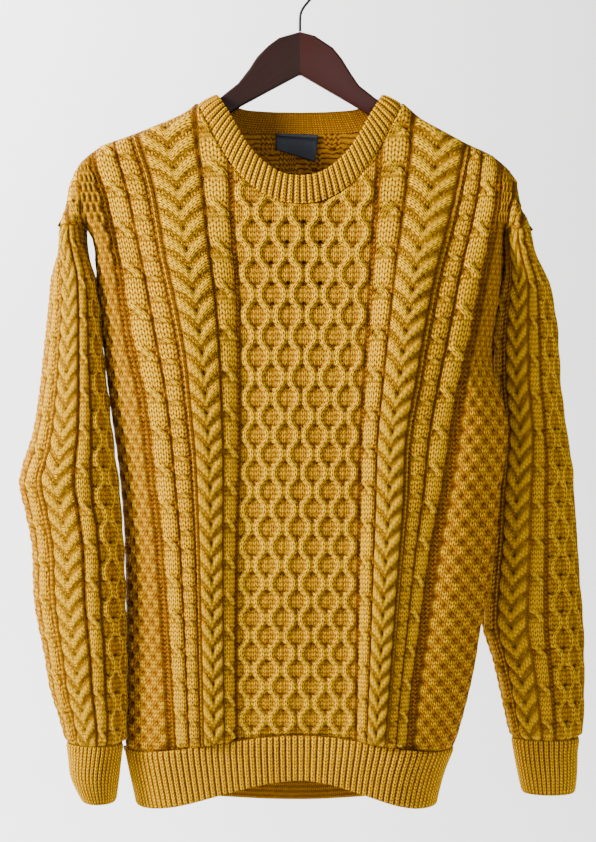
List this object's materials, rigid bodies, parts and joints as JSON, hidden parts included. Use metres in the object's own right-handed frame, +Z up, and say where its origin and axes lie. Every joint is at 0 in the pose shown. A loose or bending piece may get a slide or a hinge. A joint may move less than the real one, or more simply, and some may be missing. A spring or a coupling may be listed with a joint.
{
  "type": "crewneck sweater on a coat hanger",
  "caption": "Aran cable-knit crewneck sweater with ribbed neck, cuffs and hem, hanging open on a flat wooden hanger with a wire hook.",
  "frame": {"origin": "inside top of the wire hook, where a rail bears", "axes": "+Z up, -Y towards the front of the sweater, +X towards the wearer's left"},
  "size_m": [0.568, 0.191, 0.8704],
  "materials": {
    "knit": "heathered mustard wool, cable knit",
    "rib_knit": "heathered mustard wool, ribbed",
    "satin": "dark woven satin",
    "wood": "dark stain, lacquered",
    "wire": "black, satin"
  },
  "bodies": {
    "root": {"front": "knit", "back": "knit", "hem_front": "rib_knit", "hem_back": "rib_knit", "sleeve_wearer_right": "knit", "sleeve_wearer_left": "knit", "cuff_wearer_right": "rib_knit", "cuff_wearer_left": "rib_knit", "neckband": "rib_knit", "label": "satin", "hanger": "wood", "hook": "wire"}
  },
  "joints": []
}
